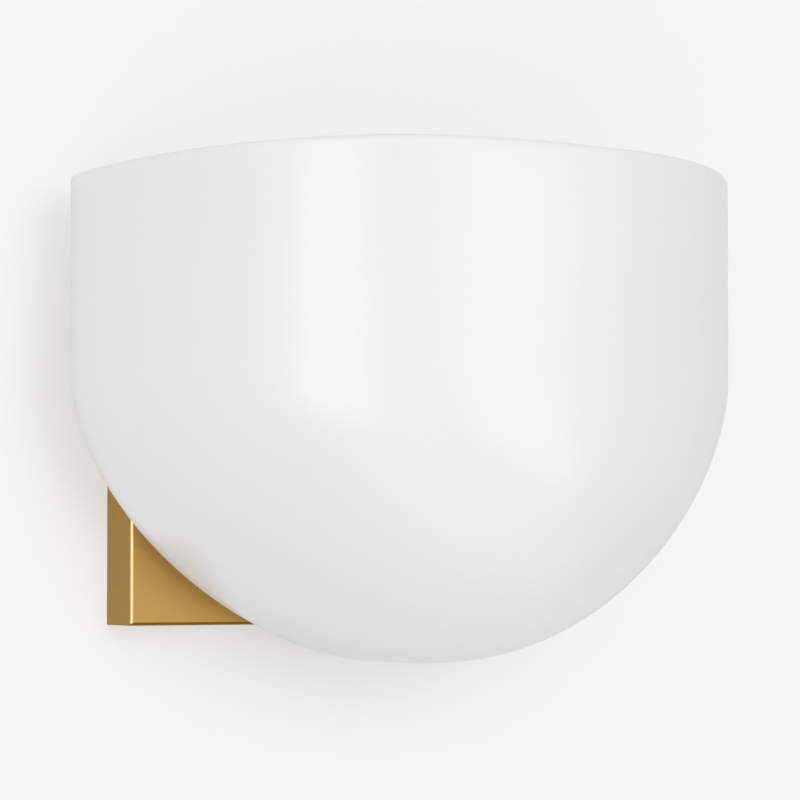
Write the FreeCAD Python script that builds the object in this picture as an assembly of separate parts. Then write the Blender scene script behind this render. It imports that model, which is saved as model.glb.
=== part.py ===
import FreeCAD, Part
import math
import os

# Uplighter wall sconce: an open-topped opal glass shade on a brass-finished wall plate.
# The shade hangs on two studs in front of the plate, and two candle lamps stand inside it.
#
# Axes: +X to the right, +Z up, the wall is the plane Y = 0 and the room is towards -Y.
# Origin: the middle of the wall bracket, on the wall.  All lengths are in millimetres.

# ---------------------------------------------------------------- driving sizes
# Glass shade; the drops are how far its straight wall and its rounded bottom fall
SHADE_WIDTH = 254.0
SHADE_REACH = 142.0
SHADE_WALL_DROP = 75.0
SHADE_DOME_DROP = 104.5
SHADE_GLASS = 5.0
RIM_ROUND = 1.8
RIM_HEIGHT = 95.0
SHADE_GAP = 12.5
# Powers of the shade's curves: 2 is an ellipse, more is fuller, less is leaner
PLAN_WIDTH_POWER = 2.7
PLAN_REACH_POWER = 1.65
SIDE_POWER = 3.5
SECTION_POWER = 1.7

# Wall plate, a shallow pan that is open towards the wall
PLATE_WIDTH = 196.0
PLATE_HEIGHT = 140.0
PLATE_SHEET = 1.5
PLATE_EDGE_ROUND = 1.4
PLATE_CORNER_ROUND = 0.5

# Wall bracket, an upright strap with an ear at each end
STRAP_WIDTH = 32.0
STRAP_SHEET = 2.0
STRAP_BEND = 1.0
SLOT_SPACING = 84.0
SLOT_LENGTH = 14.0
SLOT_WIDTH = 4.5

# Screws between the plate and the bracket's ears
PLATE_SCREW = 4.0
PLATE_SCREW_LENGTH = 8.0
PLATE_SCREW_HEAD = 9.0
PLATE_SCREW_HEAD_HEIGHT = 4.0
EAR_MARGIN = 4.5

# Terminal block on the bracket
BLOCK_BASE_HEIGHT = 16.0
BLOCK_HEIGHT = 17.0
BLOCK_DEPTH = 14.0
BLOCK_WEB = 0.3
BLOCK_ROOM = 6.0
SLEEVE_WALL = 0.85
BLOCK_SCREW = 2.5
BLOCK_SCREW_HEAD = 3.4
CLAMP_SCREW = 2.5
CLAMP_SCREW_HEAD = 4.0

# Earth screw and ring terminal on the bracket
EARTH_SCREW = 4.0
EARTH_SCREW_HEAD = 8.0
EARTH_SCREW_DROP = 27.0
EARTH_MARGIN = 2.75
RING_SHEET = 0.8
RING_BARREL_WALL = 0.7
RING_BARREL_LENGTH = 6.0

# Studs that carry the shade, and what is threaded on them
STUD = 6.0
STUD_SPACING = 92.0
STUD_HEIGHT = 20.0
STUD_SPARE = 2.2
NUT_WALL = 2.0
STUD_NUT_THICKNESS = 5.0
SPACER_RIM = 5.0
GASKET_RIM = 7.0
GASKET_THICKNESS = 1.0
WASHER_RIM = 4.5
WASHER_THICKNESS = 1.2
SHADE_NUT = 18.0
SHADE_NUT_THICKNESS = 8.0
GRIP_FLUTES = 16
GRIP_FLUTE_SHARE = 0.7

# Hollow stem that takes the wires from the plate into the shade
STEM_DROP = 6.0
STEM_WALL = 1.2
STEM_NUT_THICKNESS = 4.0
STEM_SPARE = 2.5
BUSH_LIP = 1.2
BUSH_LENGTH = 5.0
BUSH_WALL = 0.4

# Lamp tray inside the shade, an upright flange with a shelf
TRAY_SHEET = 1.5
TRAY_MARGIN = 4.0
TRAY_CORNER = 12.0
SHELF_DROP = 30.0

# Lampholders
LAMP_SPACING = 84.0
LAMP_SETBACK = 59.0
HOLDER_BLOCK_HEIGHT = 12.0
HOLDER_BLOCK_ROUND = 2.8
HOLDER_WALL = 4.25
HOLDER_HEIGHT = 36.0
HOLDER_FLOOR = 14.0
HOLDER_FOOT = 10.0
HOLDER_FOOT_LENGTH = 8.0
SHELL_WALL = 0.5
SHELL_HEIGHT = 18.0
TERMINAL_SCREW = 3.0
TERMINAL_SCREW_HEAD = 5.0
TERMINAL_ROOM = 1.35
TERMINAL_EDGE = 3.5

# Candle lamps
LAMP_BASE = 13.9
LAMP_BASE_WALL = 0.4
LAMP_BASE_HEIGHT = 17.0
LAMP_TIP = 4.8
LAMP_TIP_HEIGHT = 1.5
LAMP_COLLAR_HEIGHT = 3.5
LAMP_GLASS = 35.0
LAMP_GLASS_HEIGHT = 76.0
LAMP_GLASS_WALL = 0.8
LAMP_NECK = 6.0
LAMP_STEM = 4.0
LAMP_STEM_HEIGHT = 24.0
LAMP_SEAL = 1.5
FILAMENT = 0.8
FILAMENT_LENGTH = 12.0
FILAMENT_RISE = 10.0

# Wires; a pair is the wire to a holder's outer terminal, then the one to its inner terminal.
# The shares say how far across the space in front of the stem, or behind it, a wire turns.
WIRE = 2.0
WIRE_GAP = 1.0
WIRE_BEND = 4.0
WIRE_GRIP = 5.0
LEAVE_STEM_SHARES = (0.19, 0.31)
MEET_HOLDER_SHARES = (0.23, 0.29)
TURN_UP_SHARES = (0.30, 0.52)

# Clearances
SCREW_PLAY = 0.3
THREAD_PLAY = 0.05
SEAT_PLAY = 0.1
EAR_PLAY = 0.3
GLASS_HOLE_PLAY = 1.0
LAMP_PLAY = 0.3
WIRE_PLAY = 0.15

# How finely the curved shade is drawn; the dome stops this short of its very bottom
RING_STEPS = 24
DOME_STEPS = 12
ROUND_STEPS = 3
DOME_SHARE = 0.9985

V = FreeCAD.Vector
UP = V(0, 0, 1)

# ---------------------------------------------------------------- sizes that follow from others
WIRE_OFFSET = (WIRE + WIRE_GAP) / 2
STEM_BORE = 2 * (WIRE_OFFSET * math.sqrt(2) + WIRE / 2 + 2 * WIRE_PLAY + BUSH_WALL)
STEM = STEM_BORE + 2 * STEM_WALL
STUD_HOLE = STUD + SCREW_PLAY
STEM_HOLE = STEM + SCREW_PLAY

SLEEVE_BORE = 2 * (WIRE + WIRE_PLAY)
SLEEVE = SLEEVE_BORE + 2 * SLEEVE_WALL
BLOCK_PITCH = SLEEVE + BLOCK_SCREW_HEAD + 2 * BLOCK_WEB
RING_BARREL = WIRE + 2 * RING_BARREL_WALL

SHELL_BORE = LAMP_BASE + 2 * LAMP_PLAY
SHELL = SHELL_BORE + 2 * SHELL_WALL
HOLDER_BARREL = SHELL + 2 * HOLDER_WALL
TERMINAL_OFFSET = ((HOLDER_BARREL + TERMINAL_SCREW_HEAD) / 2 + TERMINAL_ROOM) / math.sqrt(2)
HOLDER_BLOCK = 2 * (TERMINAL_OFFSET + TERMINAL_EDGE)

# ---------------------------------------------------------------- places that follow from sizes
STRAP_FRONT = -STRAP_SHEET
BLOCK_FRONT = STRAP_FRONT - BLOCK_DEPTH
BLOCK_MIDDLE = BLOCK_BASE_HEIGHT + BLOCK_HEIGHT / 2
SLEEVE_Y = STRAP_FRONT - BLOCK_DEPTH / 2
EARTH_X = -(SLOT_WIDTH + EARTH_SCREW_HEAD) / 2 - EARTH_MARGIN
RING_BARREL_Y = STRAP_FRONT - RING_BARREL / 2
RING_BARREL_BOTTOM = -EARTH_SCREW_DROP + EARTH_SCREW_HEAD / 2 + SCREW_PLAY

PLATE_INSIDE = BLOCK_FRONT - BLOCK_ROOM
PLATE_FRONT = PLATE_INSIDE - PLATE_SHEET
PLATE_SCREW_Y = PLATE_FRONT / 2
EAR_FRONT = PLATE_SCREW_Y - EAR_MARGIN
EAR_OUTSIDE = PLATE_HEIGHT / 2 - PLATE_SHEET - EAR_PLAY

SHADE_BACK = PLATE_FRONT - SHADE_GAP
SHADE_INSIDE = SHADE_BACK - SHADE_GLASS
SPACER_FRONT = SHADE_BACK + GASKET_THICKNESS
TRAY_BACK = SHADE_INSIDE - GASKET_THICKNESS
TRAY_FRONT = TRAY_BACK - TRAY_SHEET
SHADE_NUT_BACK = TRAY_FRONT - WASHER_THICKNESS - SEAT_PLAY
SHADE_NUT_FRONT = SHADE_NUT_BACK - SHADE_NUT_THICKNESS
STUD_PLACES = [V(side * STUD_SPACING / 2, 0, STUD_HEIGHT) for side in (-1, 1)]
STEM_HEIGHT = -STEM_DROP
STEM_BACK = PLATE_INSIDE + STEM_NUT_THICKNESS + STEM_SPARE
STEM_FRONT = TRAY_FRONT - STEM_NUT_THICKNESS - STEM_SPARE

SHELF_BOTTOM = -SHELF_DROP
SHELF_TOP = SHELF_BOTTOM + TRAY_SHEET
LAMP_X = LAMP_SPACING / 2
LAMP_Y = SHADE_INSIDE - LAMP_SETBACK
TERMINAL_Y = LAMP_Y + TERMINAL_OFFSET
WIRE_ENTRY = SHELF_TOP + HOLDER_BLOCK_HEIGHT / 2

# Heights above the shelf, from the lampholder's contact up to the lamp's glass
CONTACT_TOP = HOLDER_FLOOR + SHELL_WALL + LAMP_TIP_HEIGHT
TIP_BOTTOM = CONTACT_TOP + LAMP_PLAY
COLLAR_BOTTOM = TIP_BOTTOM + LAMP_TIP_HEIGHT
BASE_BOTTOM = COLLAR_BOTTOM + LAMP_COLLAR_HEIGHT
BASE_TOP = BASE_BOTTOM + LAMP_BASE_HEIGHT
GLASS_BOTTOM = BASE_TOP - LAMP_NECK
GLASS_TOP = BASE_TOP + LAMP_GLASS_HEIGHT
NECK_RADIUS = LAMP_BASE / 2 - LAMP_BASE_WALL


# ---------------------------------------------------------------- shared shapes
def rod(diameter, start, end):
    """A round bar between two points."""
    along = end - start
    return Part.makeCylinder(diameter / 2, along.Length, start, along)


def tube(outer, bore, start, end):
    """A round tube between two points."""
    return rod(outer, start, end).cut(rod(bore, start, end))


def block(corner, other):
    """A box between any two opposite corners."""
    low = V(min(corner.x, other.x), min(corner.y, other.y), min(corner.z, other.z))
    size = V(abs(corner.x - other.x), abs(corner.y - other.y), abs(corner.z - other.z))
    return Part.makeBox(size.x, size.y, size.z, low)


def along_y(x, z, front, back):
    """The two ends of a bar that runs from front to back."""
    return V(x, front, z), V(x, back, z)


def drill_y(shape, diameter, x, z):
    """A hole from front to back, right through a shape."""
    box = shape.BoundBox
    return shape.cut(rod(diameter, *along_y(x, z, box.YMin - diameter, box.YMax + diameter)))


def drill_z(shape, diameter, x, y):
    """A hole from bottom to top, right through a shape."""
    box = shape.BoundBox
    return shape.cut(rod(diameter, V(x, y, box.ZMin - diameter), V(x, y, box.ZMax + diameter)))


def edges_near(shape, y, z):
    """The edges of a shape that run along X at this Y and Z."""
    found = []
    for edge in shape.Edges:
        box = edge.BoundBox
        on_line = abs(box.Center.y - y) < SEAT_PLAY and abs(box.Center.z - z) < SEAT_PLAY
        if on_line and box.XLength > max(box.YLength, box.ZLength):
            found.append(edge)
    return found


def around(along, radius, turn):
    """The step out from an axis on Y or Z, at a radius and an angle round it."""
    over = radius * math.sin(turn)
    if along.z == 0:
        return V(radius * math.cos(turn), 0, over)
    return V(radius * math.cos(turn), over, 0)


def hexagon(across_flats, bore, centre, along):
    """A hexagon nut that starts at centre and reaches along a vector on the Y or Z axis."""
    radius = across_flats / math.sqrt(3)
    corners = [centre + around(along, radius, math.radians(60 * corner)) for corner in range(7)]
    return Part.Face(Part.makePolygon(corners)).extrude(along).cut(rod(bore, centre, centre + along))


def fluted(diameter, start, end):
    """A round grip with rounded end edges and flutes all round it."""
    along = end - start
    grip = rod(diameter, start, end)
    rims = [edge for edge in grip.Edges if edge.Closed]
    grip = grip.makeFillet(along.Length / 8, rims)
    pitch = math.pi * diameter / GRIP_FLUTES
    flute = GRIP_FLUTE_SHARE * pitch
    reach = diameter / 2 + flute / 4
    for step in range(GRIP_FLUTES):
        sideways = around(along, reach, 2 * math.pi * step / GRIP_FLUTES)
        grip = grip.cut(rod(flute, start + sideways, end + sideways))
    return grip


def slotted_screw(head, shank, x, z, levels):
    """A screw along Y, slotted towards the room; levels are its top, the head's underside and its tip."""
    front, under, tip = levels
    depth = (under - front) / 3
    half_width = head / 12
    top = rod(head, *along_y(x, z, front, under))
    slot = block(V(x - head, front, z - half_width), V(x + head, front + depth, z + half_width))
    return top.cut(slot).fuse(rod(shank, *along_y(x, z, under, tip)))


def wire_solid(points):
    """An insulated wire: straight runs joined by tangent arcs, as round as the runs allow."""
    edges = []
    last = points[0]
    for index in range(1, len(points) - 1):
        corner = points[index]
        before = points[index - 1] - corner
        after = points[index + 1] - corner
        half_turn = (math.pi - before.getAngle(after)) / 2
        setback = min(0.45 * before.Length, 0.45 * after.Length, WIRE_BEND * math.tan(half_turn))
        before.normalize()
        after.normalize()
        inward = before + after
        inward.normalize()
        radius = setback / math.tan(half_turn)
        middle = corner + inward * (radius / math.cos(half_turn) - radius)
        arc_start = corner + before * setback
        arc_end = corner + after * setback
        edges.append(Part.LineSegment(last, arc_start).toShape())
        edges.append(Part.Arc(arc_start, middle, arc_end).toShape())
        last = arc_end
    edges.append(Part.LineSegment(last, points[-1]).toShape())
    section = Part.Wire([Part.makeCircle(WIRE / 2, points[0], points[1] - points[0])])
    return Part.Wire(edges).makePipeShell([section], True, False)


def group(shapes):
    """Separate solids kept together in one node."""
    return Part.makeCompound(shapes)


def export(name, shape):
    """Write one node."""
    shape.exportStep("parts/" + name + ".step")


# ---------------------------------------------------------------- glass shade
def shade_ring(half_width, reach, back, height, drop_share):
    """The shade's D-shaped outline at one height; drop_share is 0 on the wall and 1 at the bottom."""
    nose = (1 - drop_share ** SIDE_POWER) ** (1 / SIDE_POWER)
    places = [step / RING_STEPS for step in range(RING_STEPS + 1)]
    points = []
    for place in places:
        depth = nose * max(0.0, math.sin(math.pi * place)) ** (2 / PLAN_REACH_POWER)
        width = max(0.0, 1 - depth ** PLAN_REACH_POWER) ** (1 / PLAN_WIDTH_POWER)
        side = max(0.0, 1 - depth ** SIDE_POWER) ** (1 / SIDE_POWER)
        fall = min(1.0, drop_share / side) if drop_share else 0.0
        lean = (1 - fall ** SECTION_POWER) ** (1 / SECTION_POWER)
        hand = (place < 0.5) - (place > 0.5)
        points.append(V(hand * half_width * width * lean, back - reach * depth, height))
    curve = Part.BSplineCurve()
    curve.interpolate(Points=points, Parameters=places)
    closing = Part.LineSegment(points[-1], points[0])
    return Part.Wire([curve.toShape(), closing.toShape()])


def shade_body(inset, top, flare):
    """All that lies within the shade's outline, moved in by inset; flare turns its top edge in or out."""
    half_width = SHADE_WIDTH / 2 - inset
    back = SHADE_BACK - inset
    reach = SHADE_REACH - 2 * inset
    shoulder = RIM_HEIGHT - SHADE_WALL_DROP
    drop = SHADE_DOME_DROP - inset
    rounding = min(RIM_ROUND, 0.45 * SHADE_GLASS)

    levels = [(0.0, shoulder)]
    for step in range(ROUND_STEPS + 1):
        turn = math.pi / 2 * step / ROUND_STEPS
        shift = flare * rounding * (1 - math.cos(turn))
        levels.append((shift, RIM_HEIGHT - rounding * (1 - math.sin(turn))))
    if top > RIM_HEIGHT:
        levels.append((flare * rounding, top))
    wall = []
    for shift, height in levels:
        wall.append(shade_ring(half_width + shift, reach + 2 * shift, back + shift, height, 0.0))

    dome = []
    for step in range(DOME_STEPS + 1):
        share = DOME_SHARE * math.sin(math.pi / 2 * step / DOME_STEPS)
        dome.append(shade_ring(half_width, reach, back, shoulder - drop * share, share))
    return Part.makeLoft(wall, True, True).fuse(Part.makeLoft(dome, True, False, False, 5))


def make_glass_shade():
    """Opal glass: open at the top, rounded below, flat at the back with three holes."""
    outside = shade_body(0.0, RIM_HEIGHT, -1)
    inside = shade_body(SHADE_GLASS, RIM_HEIGHT + SHADE_GLASS, 1)
    glass = outside.cut(inside)
    reach = (SHADE_INSIDE - SHADE_GLASS, SHADE_BACK + SHADE_GLASS)
    for place in STUD_PLACES:
        glass = glass.cut(rod(STUD + 2 * GLASS_HOLE_PLAY, *along_y(place.x, place.z, *reach)))
    return glass.cut(rod(STEM + 2 * GLASS_HOLE_PLAY, *along_y(0, STEM_HEIGHT, *reach)))


# ---------------------------------------------------------------- wall plate and bracket
def make_backplate():
    """A pressed pan with crisp rounded front edges and holes for the studs, stem and screws."""
    half_width = PLATE_WIDTH / 2
    half_height = PLATE_HEIGHT / 2
    pan = block(V(-half_width, PLATE_FRONT, -half_height), V(half_width, 0, half_height))
    corners = [edge for edge in pan.Edges if edge.BoundBox.YLength > PLATE_SHEET]
    pan = pan.makeFillet(PLATE_CORNER_ROUND, corners)
    front = [edge for edge in pan.Edges if edge.BoundBox.YMax < PLATE_INSIDE]
    pan = pan.makeFillet(PLATE_EDGE_ROUND, front)
    hollow_low = V(PLATE_SHEET - half_width, PLATE_INSIDE, PLATE_SHEET - half_height)
    hollow_high = V(half_width - PLATE_SHEET, PLATE_SHEET, half_height - PLATE_SHEET)
    pan = pan.cut(block(hollow_low, hollow_high))
    for place in STUD_PLACES:
        pan = drill_y(pan, STUD_HOLE, place.x, place.z)
    pan = drill_y(pan, STEM_HOLE, 0, STEM_HEIGHT)
    return drill_z(pan, PLATE_SCREW + SCREW_PLAY, 0, PLATE_SCREW_Y)


def make_wall_bracket():
    """An upright steel strap, slotted for wall screws, with an ear at each end for a plate screw."""
    half = STRAP_WIDTH / 2
    strap = block(V(-half, STRAP_FRONT, -EAR_OUTSIDE), V(half, 0, EAR_OUTSIDE))
    for side in (-1, 1):
        outer = side * EAR_OUTSIDE
        inner = outer - side * STRAP_SHEET
        strap = strap.fuse(block(V(-half, EAR_FRONT, inner), V(half, 0, outer)))
    strap = strap.removeSplitter()
    for side in (-1, 1):
        outer = side * EAR_OUTSIDE
        inner = outer - side * STRAP_SHEET
        strap = strap.makeFillet(STRAP_BEND, edges_near(strap, STRAP_FRONT, inner))
        strap = strap.makeFillet(STRAP_BEND + STRAP_SHEET, edges_near(strap, 0, outer))

    run = (SLOT_LENGTH - SLOT_WIDTH) / 2
    for side in (-1, 1):
        middle = side * SLOT_SPACING / 2
        low = V(-SLOT_WIDTH / 2, 2 * STRAP_FRONT, middle - run)
        high = V(SLOT_WIDTH / 2, STRAP_SHEET, middle + run)
        slot = block(low, high)
        for end in (-run, run):
            slot = slot.fuse(rod(SLOT_WIDTH, *along_y(0, middle + end, low.y, high.y)))
        strap = strap.cut(slot)
    strap = drill_z(strap, PLATE_SCREW + 2 * THREAD_PLAY, 0, PLATE_SCREW_Y)
    strap = drill_y(strap, EARTH_SCREW, EARTH_X, -EARTH_SCREW_DROP)
    for x in (-BLOCK_PITCH / 2, BLOCK_PITCH / 2):
        strap = drill_y(strap, BLOCK_SCREW, x, BLOCK_MIDDLE)
    return strap


def make_plate_screw(side):
    """A low fluted screw through the plate's wall into an ear; side is 1 above and -1 below."""
    seat = V(0, PLATE_SCREW_Y, side * (PLATE_HEIGHT / 2 + SEAT_PLAY))
    head = fluted(PLATE_SCREW_HEAD, seat, seat + UP * side * PLATE_SCREW_HEAD_HEIGHT)
    return head.fuse(rod(PLATE_SCREW, seat, seat - UP * side * PLATE_SCREW_LENGTH))


# ---------------------------------------------------------------- terminal block and earth
def block_poles():
    """Sideways places of the three poles: live, earth, neutral."""
    return [-BLOCK_PITCH, 0.0, BLOCK_PITCH]


def clamp_heights():
    """Heights of the two clamp screws of each pole."""
    return [BLOCK_MIDDLE - BLOCK_HEIGHT / 4, BLOCK_MIDDLE + BLOCK_HEIGHT / 4]


def make_terminal_block():
    """A plastic block with room for a brass sleeve in each pole."""
    half = 1.5 * BLOCK_PITCH
    top = BLOCK_BASE_HEIGHT + BLOCK_HEIGHT
    recess = BLOCK_FRONT + BLOCK_DEPTH / 3
    body = block(V(-half, BLOCK_FRONT, BLOCK_BASE_HEIGHT), V(half, STRAP_FRONT, top))
    for x in block_poles():
        body = drill_z(body, SLEEVE, x, SLEEVE_Y)
        for z in clamp_heights():
            body = body.cut(rod(CLAMP_SCREW_HEAD + SCREW_PLAY, *along_y(x, z, BLOCK_FRONT, SLEEVE_Y)))
    for x in (-BLOCK_PITCH / 2, BLOCK_PITCH / 2):
        body = drill_y(body, BLOCK_SCREW, x, BLOCK_MIDDLE)
        body = body.cut(rod(BLOCK_SCREW_HEAD, *along_y(x, BLOCK_MIDDLE, BLOCK_FRONT, recess)))
    return body


def make_terminal_sleeves():
    """Three brass tubes with two tapped holes each."""
    top = BLOCK_BASE_HEIGHT + BLOCK_HEIGHT
    sleeves = []
    for x in block_poles():
        sleeve = tube(SLEEVE, SLEEVE_BORE, V(x, SLEEVE_Y, BLOCK_BASE_HEIGHT), V(x, SLEEVE_Y, top))
        for z in clamp_heights():
            sleeve = sleeve.cut(rod(CLAMP_SCREW, *along_y(x, z, SLEEVE_Y - SLEEVE, SLEEVE_Y)))
        sleeves.append(sleeve)
    return group(sleeves)


def make_clamp_screws():
    """Six clamp screws that reach through the sleeves to the wires."""
    levels = (BLOCK_FRONT + SCREW_PLAY, SLEEVE_Y - SLEEVE / 2 - SCREW_PLAY, SLEEVE_Y - SLEEVE_BORE / 2)
    screws = []
    for x in block_poles():
        for z in clamp_heights():
            screws.append(slotted_screw(CLAMP_SCREW_HEAD, CLAMP_SCREW, x, z, levels))
    return group(screws)


def make_block_screws():
    """Two screws that hold the terminal block on the bracket."""
    under = BLOCK_FRONT + BLOCK_DEPTH / 3
    levels = (under - BLOCK_SCREW_HEAD / 2, under, 0)
    screws = []
    for x in (-BLOCK_PITCH / 2, BLOCK_PITCH / 2):
        screws.append(slotted_screw(BLOCK_SCREW_HEAD, BLOCK_SCREW, x, BLOCK_MIDDLE, levels))
    return group(screws)


def make_earth_screw():
    """The earth screw in the bracket."""
    under = STRAP_FRONT - RING_SHEET
    levels = (under - EARTH_SCREW / 2, under, 0)
    return slotted_screw(EARTH_SCREW_HEAD, EARTH_SCREW, EARTH_X, -EARTH_SCREW_DROP, levels)


def make_earth_ring():
    """A ring terminal under the earth screw, with its barrel pointing up."""
    front = STRAP_FRONT - RING_SHEET
    z = -EARTH_SCREW_DROP
    half = RING_BARREL / 2
    top = RING_BARREL_BOTTOM + RING_BARREL_LENGTH
    neck = block(V(EARTH_X - half, front, z), V(EARTH_X + half, STRAP_FRONT, RING_BARREL_BOTTOM + half))
    ring = rod(EARTH_SCREW_HEAD, *along_y(EARTH_X, z, front, STRAP_FRONT)).fuse(neck)
    ring = drill_y(ring, EARTH_SCREW, EARTH_X, z)
    barrel = rod(RING_BARREL, V(EARTH_X, RING_BARREL_Y, RING_BARREL_BOTTOM), V(EARTH_X, RING_BARREL_Y, top))
    wire_hole = rod(WIRE, earth_wire_end(), V(EARTH_X, RING_BARREL_Y, top))
    return ring.fuse(barrel).cut(wire_hole).removeSplitter()


def earth_wire_end():
    """Where the earth wire ends in its ring terminal."""
    return V(EARTH_X, RING_BARREL_Y, RING_BARREL_BOTTOM + RING_BARREL_LENGTH / 3)


# ---------------------------------------------------------------- what carries the shade
def on_studs(make):
    """A shape on each stud, from make(x, z)."""
    return [make(place.x, place.z) for place in STUD_PLACES]


def make_shade_studs():
    """Two threaded studs from inside the plate to inside the shade."""
    front = SHADE_NUT_FRONT - STUD_SPARE
    back = PLATE_INSIDE + STUD_NUT_THICKNESS + STUD_SPARE
    return group(on_studs(lambda x, z: rod(STUD, *along_y(x, z, front, back))))


def make_stud_nuts():
    """Hexagon nuts that lock the studs in the plate."""
    across = STUD + 2 * NUT_WALL
    along = V(0, STUD_NUT_THICKNESS, 0)
    return group(on_studs(lambda x, z: hexagon(across, STUD, V(x, PLATE_INSIDE, z), along)))


def make_shade_spacers():
    """Brass tubes on the studs, which hold the shade off the plate."""
    outer = STUD + 2 * SPACER_RIM
    return group(on_studs(lambda x, z: tube(outer, STUD_HOLE, *along_y(x, z, SPACER_FRONT, PLATE_FRONT))))


def make_stem_spacer():
    """A brass tube round the stem, between the plate and the shade."""
    return tube(STEM + 2 * SPACER_RIM, STEM_HOLE, *along_y(0, STEM_HEIGHT, SPACER_FRONT, PLATE_FRONT))


def make_gaskets(front, back):
    """Rubber rings on one face of the glass, round both studs and the stem."""
    outer = STUD + 2 * GASKET_RIM
    rings = on_studs(lambda x, z: tube(outer, STUD_HOLE, *along_y(x, z, front, back)))
    rings.append(tube(STEM + 2 * GASKET_RIM, STEM_HOLE, *along_y(0, STEM_HEIGHT, front, back)))
    return group(rings)


def make_stud_washers():
    """Flat washers under the shade nuts."""
    outer = STUD + 2 * WASHER_RIM
    ends = (TRAY_FRONT - WASHER_THICKNESS, TRAY_FRONT)
    return group(on_studs(lambda x, z: tube(outer, STUD_HOLE, *along_y(x, z, *ends))))


def make_shade_nut(place):
    """A fluted brass nut, turned by hand to free the shade."""
    nut = fluted(SHADE_NUT, *along_y(place.x, place.z, SHADE_NUT_FRONT, SHADE_NUT_BACK))
    return drill_y(nut, STUD + 2 * THREAD_PLAY, place.x, place.z)


def make_wire_stem():
    """The hollow threaded stem that the lamp wires pass through."""
    return tube(STEM, STEM_BORE, *along_y(0, STEM_HEIGHT, STEM_FRONT, STEM_BACK))


def make_stem_nuts():
    """A hexagon nut at each end of the stem."""
    across = STEM + 2 * NUT_WALL
    inside = hexagon(across, STEM, V(0, PLATE_INSIDE, STEM_HEIGHT), V(0, STEM_NUT_THICKNESS, 0))
    outside = hexagon(across, STEM, V(0, TRAY_FRONT, STEM_HEIGHT), V(0, -STEM_NUT_THICKNESS, 0))
    return group([inside, outside])


def make_stem_bushes():
    """Plastic bushes that keep the stem's ends from cutting the wires."""
    bushes = []
    for end, outward in ((STEM_FRONT, -1), (STEM_BACK, 1)):
        lip_end = end + outward * BUSH_LIP
        sleeve_end = end - outward * BUSH_LENGTH
        bush = rod(STEM, *along_y(0, STEM_HEIGHT, end, lip_end))
        bush = bush.fuse(rod(STEM_BORE, *along_y(0, STEM_HEIGHT, end, sleeve_end)))
        bushes.append(drill_y(bush.removeSplitter(), STEM_BORE - 2 * BUSH_WALL, 0, STEM_HEIGHT))
    return group(bushes)


# ---------------------------------------------------------------- lamp tray
def make_lamp_tray():
    """Bent sheet steel: a flange clamped to the glass and a shelf for the lampholders."""
    widest = max(LAMP_SPACING + HOLDER_BLOCK, STUD_SPACING + 2 * WASHER_RIM + STUD)
    half = widest / 2 + TRAY_MARGIN
    top = STUD_HEIGHT + STUD / 2 + WASHER_RIM + TRAY_MARGIN
    front = LAMP_Y - HOLDER_BLOCK / 2 - TRAY_MARGIN
    flange = block(V(-half, TRAY_FRONT, SHELF_BOTTOM), V(half, TRAY_BACK, top))
    upper = [edge for edge in flange.Edges if edge.BoundBox.ZMin > STUD_HEIGHT and edge.Length < half]
    flange = flange.makeFillet(TRAY_CORNER, upper)
    shelf = block(V(-half, front, SHELF_BOTTOM), V(half, TRAY_BACK, SHELF_TOP))
    outer = [edge for edge in shelf.Edges if edge.BoundBox.YMax < LAMP_Y and edge.Length < half]
    shelf = shelf.makeFillet(TRAY_CORNER, outer)
    tray = flange.fuse(shelf).removeSplitter()
    tray = tray.makeFillet(0.9 * TRAY_SHEET, edges_near(tray, TRAY_BACK, SHELF_BOTTOM))
    tray = tray.makeFillet(0.5 * TRAY_SHEET, edges_near(tray, TRAY_FRONT, SHELF_TOP))
    for place in STUD_PLACES:
        tray = drill_y(tray, STUD_HOLE, place.x, place.z)
    tray = drill_y(tray, STEM_HOLE, 0, STEM_HEIGHT)
    for side in (-1, 1):
        tray = drill_z(tray, HOLDER_FOOT + SCREW_PLAY, side * LAMP_X, LAMP_Y)
    return tray


# ---------------------------------------------------------------- lampholders
def above_shelf(side, height):
    """A point on a lamp's axis, a height above the shelf."""
    return V(side * LAMP_X, LAMP_Y, SHELF_TOP + height)


def terminal_places(side):
    """Sideways places of a holder's two terminals: the outer one, then the inner one."""
    return [side * (LAMP_X + TERMINAL_OFFSET), side * (LAMP_X - TERMINAL_OFFSET)]


def make_holder_body(side):
    """A moulded lampholder: square block, round barrel and threaded foot."""
    half = V(HOLDER_BLOCK / 2, HOLDER_BLOCK / 2, 0)
    base = block(above_shelf(side, 0) - half, above_shelf(side, HOLDER_BLOCK_HEIGHT) + half)
    upright = [edge for edge in base.Edges if edge.BoundBox.ZLength > HOLDER_BLOCK_HEIGHT / 2]
    base = base.makeFillet(HOLDER_BLOCK_ROUND, upright)
    barrel = rod(HOLDER_BARREL, above_shelf(side, 0), above_shelf(side, HOLDER_HEIGHT))
    foot = rod(HOLDER_FOOT, above_shelf(side, -HOLDER_FOOT_LENGTH), above_shelf(side, 0))
    body = base.fuse(barrel).fuse(foot).removeSplitter()
    body = body.cut(rod(SHELL, above_shelf(side, HOLDER_FLOOR), above_shelf(side, HOLDER_HEIGHT)))
    wire_hole = WIRE + 2 * WIRE_PLAY
    wire_ends = (TERMINAL_Y - WIRE_GRIP / 2, LAMP_Y + HOLDER_BLOCK / 2)
    for x in terminal_places(side):
        top = V(x, TERMINAL_Y, SHELF_TOP + HOLDER_BLOCK_HEIGHT)
        body = body.cut(rod(TERMINAL_SCREW, V(x, TERMINAL_Y, WIRE_ENTRY), top))
        body = body.cut(rod(wire_hole, *along_y(x, WIRE_ENTRY, *wire_ends)))
    return body


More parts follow.
